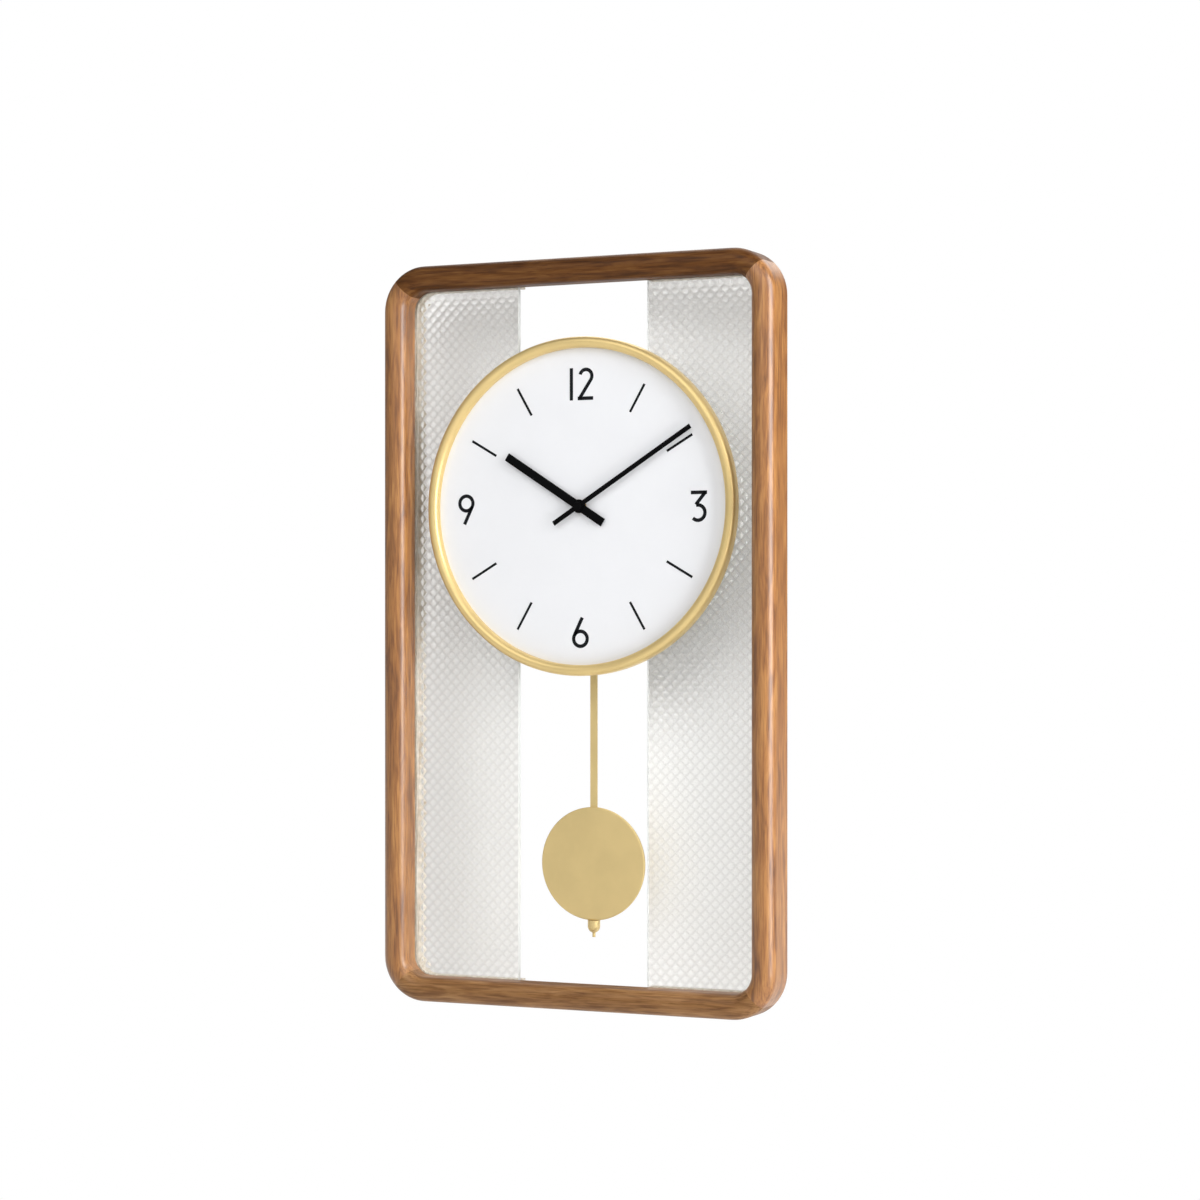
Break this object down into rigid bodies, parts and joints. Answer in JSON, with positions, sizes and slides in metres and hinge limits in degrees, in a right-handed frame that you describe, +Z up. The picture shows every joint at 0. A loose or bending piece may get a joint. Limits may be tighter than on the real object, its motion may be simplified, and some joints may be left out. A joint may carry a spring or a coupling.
{
  "type": "pendulum wall clock",
  "caption": "Wall clock with a rounded wooden frame, embossed glass side panes, a round white dial in a gold ring and a swinging pendulum, hung on one screw by a keyhole.",
  "frame": {"origin": "centre of the hanger plate's keyhole, on the plane of the wall", "axes": "+Z up, +X to the right seen from the front, +Y into the wall; the dial faces -Y"},
  "size_m": [0.275, 0.058, 0.48],
  "materials": {
    "frame_wood": "clear lacquer",
    "bead_wood": "oiled",
    "spline_wood": "bare",
    "embossed_glass": "embossed with small diamonds",
    "dial_white": "matt white",
    "ring_gold": "polished",
    "pendulum_gold": "satin",
    "hand_black": "matt black",
    "case_plastic": "fine moulded grain",
    "movement_black": "moulded",
    "wheel_plastic": "moulded",
    "steel": "zinc plated",
    "brass_turned": "turned",
    "black_rubber": "moulded",
    "copper_wire": "enamelled wire",
    "board_green": "solder mask",
    "magnet_grey": "ground",
    "battery_jacket": "plain jacket"
  },
  "bodies": {
    "case": {"frame_top_rail": "frame_wood", "frame_bottom_rail": "frame_wood", "frame_left_stile": "frame_wood", "frame_right_stile": "frame_wood", "corner_splines": "spline_wood", "glass_pane_left": "embossed_glass", "glass_pane_right": "embossed_glass", "glazing_bead_left": "bead_wood", "glazing_bead_right": "bead_wood", "bead_screws": "steel", "dial_plate": "dial_white", "dial_ring": "ring_gold", "dial_studs": "steel", "glass_grommets": "black_rubber", "stud_nuts": "steel", "rear_case": "case_plastic", "hanger_plate": "steel", "hanger_screws": "steel", "movement_front": "movement_black", "movement_back": "movement_black", "movement_gasket": "black_rubber", "shaft_bush": "brass_turned", "movement_studs": "steel", "movement_nuts": "steel", "stator": "steel", "coil_core": "steel", "coil_bobbin": "movement_black", "coil_winding": "copper_wire", "circuit_board": "board_green", "battery": "battery_jacket", "battery_contact_positive": "steel", "battery_contact_negative": "steel", "pendulum_pin": "steel", "drive_coil": "copper_wire"},
    "minute": {"minute_arbor": "brass_turned", "clutch_spring": "steel", "minute_hand": "hand_black", "hand_cap": "hand_black"},
    "hour": {"hour_wheel": "wheel_plastic", "hour_hand": "hand_black"},
    "motion_wheel": {"minute_wheel": "wheel_plastic"},
    "setting": {"setting_knob": "wheel_plastic"},
    "rotor_body": {"rotor": "magnet_grey"},
    "intermediate": {"intermediate_wheel": "wheel_plastic"},
    "second": {"second_wheel": "wheel_plastic"},
    "third": {"third_wheel": "wheel_plastic"},
    "centre": {"centre_wheel": "wheel_plastic"},
    "pendulum": {"pendulum_lever": "movement_black", "lever_magnet": "magnet_grey", "pendulum_rod": "pendulum_gold", "pendulum_bob": "pendulum_gold", "pendulum_finial": "pendulum_gold"}
  },
  "joints": [
    {"name": "minute_hand_turn", "type": "hinge", "parent": "case", "child": "minute", "pos_m": [0, -0.043, -0.056], "axis": [0, 1, 0], "continuous": true},
    {"name": "hour_hand_turn", "type": "hinge", "parent": "case", "child": "hour", "pos_m": [0, -0.043, -0.056], "axis": [0, 1, 0], "continuous": true},
    {"name": "minute_wheel_turn", "type": "hinge", "parent": "case", "child": "motion_wheel", "pos_m": [0, -0.036, -0.046], "axis": [0, 1, 0], "continuous": true},
    {"name": "setting_knob_turn", "type": "hinge", "parent": "case", "child": "setting", "pos_m": [-0.00974, -0.018, -0.04038], "axis": [0, 1, 0], "continuous": true},
    {"name": "rotor_spin", "type": "hinge", "parent": "case", "child": "rotor_body", "pos_m": [0.01336, -0.024, -0.04925], "axis": [0, 1, 0], "continuous": true},
    {"name": "intermediate_wheel_spin", "type": "hinge", "parent": "case", "child": "intermediate", "pos_m": [0.01103, -0.029, -0.05795], "axis": [0, 1, 0], "continuous": true},
    {"name": "second_wheel_spin", "type": "hinge", "parent": "case", "child": "second", "pos_m": [0, -0.031, -0.056], "axis": [0, 1, 0], "continuous": true},
    {"name": "third_wheel_spin", "type": "hinge", "parent": "case", "child": "third", "pos_m": [-0.01064, -0.033, -0.05788], "axis": [0, 1, 0], "continuous": true},
    {"name": "centre_wheel_spin", "type": "hinge", "parent": "case", "child": "centre", "pos_m": [0, -0.0345, -0.056], "axis": [0, 1, 0], "continuous": true},
    {"name": "pendulum_swing", "type": "hinge", "parent": "case", "child": "pendulum", "pos_m": [0, -0.025, -0.093], "axis": [0, 1, 0], "range_deg": [-6, 6]}
  ],
  "couplings": [
    {"joint": "minute_wheel_turn", "follows": "minute_hand_turn", "ratio": -0.33333},
    {"joint": "hour_hand_turn", "follows": "minute_hand_turn", "ratio": 0.083333},
    {"joint": "setting_knob_turn", "follows": "minute_hand_turn", "ratio": 0.66667},
    {"joint": "intermediate_wheel_spin", "follows": "rotor_spin", "ratio": -0.2},
    {"joint": "second_wheel_spin", "follows": "rotor_spin", "ratio": 0.033333},
    {"joint": "third_wheel_spin", "follows": "rotor_spin", "ratio": -0.0044444},
    {"joint": "centre_wheel_spin", "follows": "rotor_spin", "ratio": 0.00055556}
  ]
}
